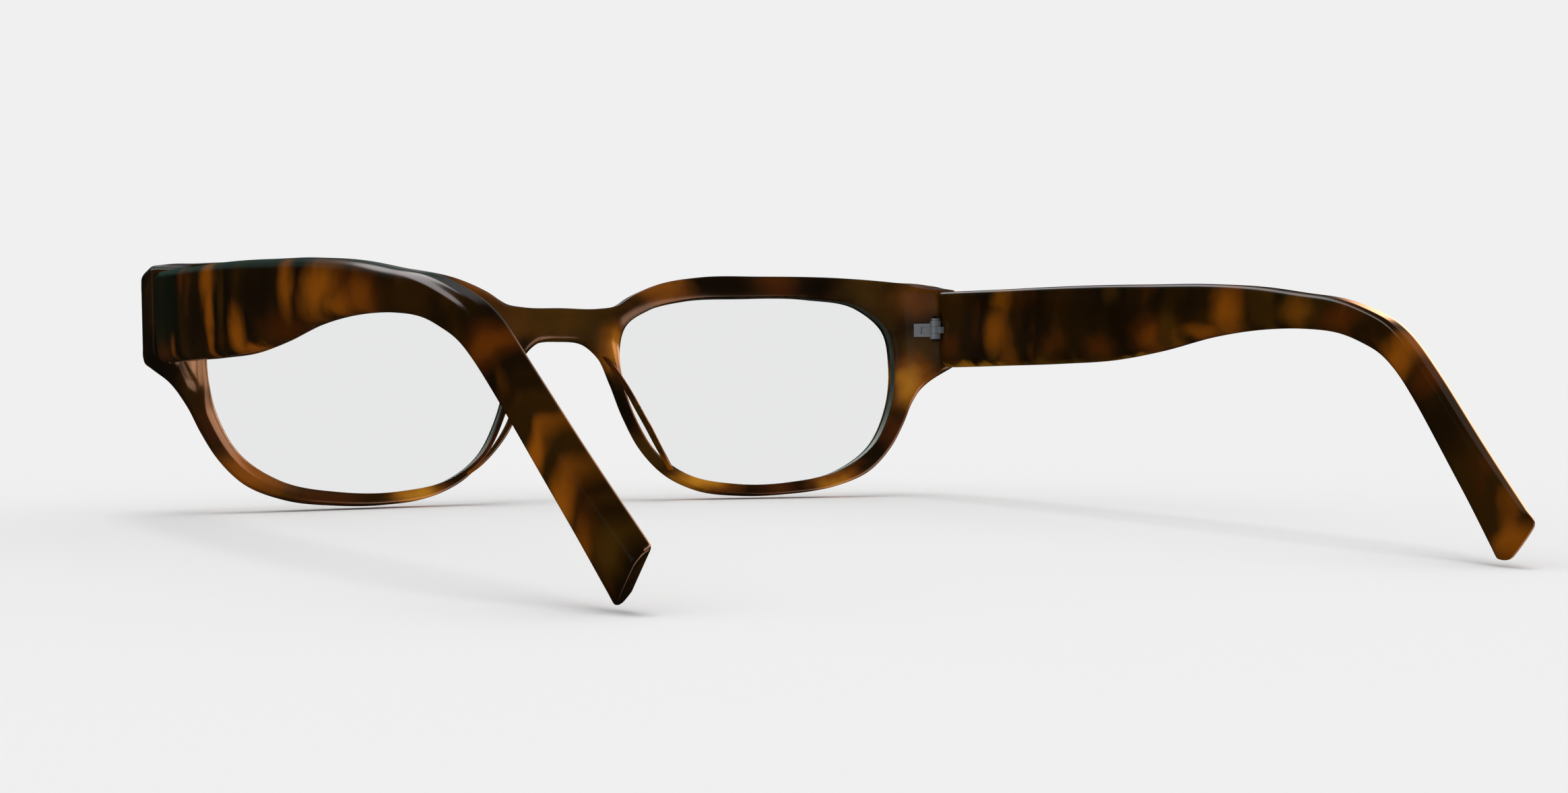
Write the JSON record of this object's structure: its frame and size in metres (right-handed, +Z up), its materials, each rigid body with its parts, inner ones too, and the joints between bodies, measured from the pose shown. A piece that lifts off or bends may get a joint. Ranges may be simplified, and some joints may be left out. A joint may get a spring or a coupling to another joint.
{
  "type": "eyeglasses frame",
  "caption": "Full-rim acetate eyeglasses frame with clear lenses, bonded nose pads, wire-cored temples and sunk barrel hinges that let the temples fold.",
  "frame": {"origin": "centre of the overall box, at its bottom, on the surface the frame stands on with its temples open", "axes": "+X towards the wearer's left, +Y back along the temples, +Z up"},
  "size_m": [0.1364, 0.1609, 0.0381],
  "materials": {
    "acetate": "polished tortoiseshell acetate, dark brown and black with amber and olive patches",
    "lens": "clear plain plastic lens",
    "core_steel": "drawn stainless wire inside the acetate",
    "hinge_steel": "nickel-silver hinge, satin",
    "screw_steel": "bright slotted screw"
  },
  "bodies": {
    "front": {"front_frame": "acetate", "lens_left": "lens", "lens_right": "lens", "nose_pad_left": "acetate", "nose_pad_right": "acetate", "front_hinge_left": "hinge_steel", "front_hinge_right": "hinge_steel", "hinge_screw_left": "screw_steel", "hinge_screw_right": "screw_steel"},
    "temple_left": {"temple_left": "acetate", "core_wire_left": "core_steel", "temple_hinge_left": "hinge_steel"},
    "temple_right": {"temple_right": "acetate", "core_wire_right": "core_steel", "temple_hinge_right": "hinge_steel"}
  },
  "joints": [
    {"name": "temple_left_fold", "type": "hinge", "parent": "front", "child": "temple_left", "pos_m": [0.0635, -0.06325, 0.0288], "axis": [0, 0, 1], "range_deg": [0, 87.4]},
    {"name": "temple_right_fold", "type": "hinge", "parent": "front", "child": "temple_right", "pos_m": [-0.0635, -0.06325, 0.0288], "axis": [0, 0, -1], "range_deg": [0, 76]}
  ]
}
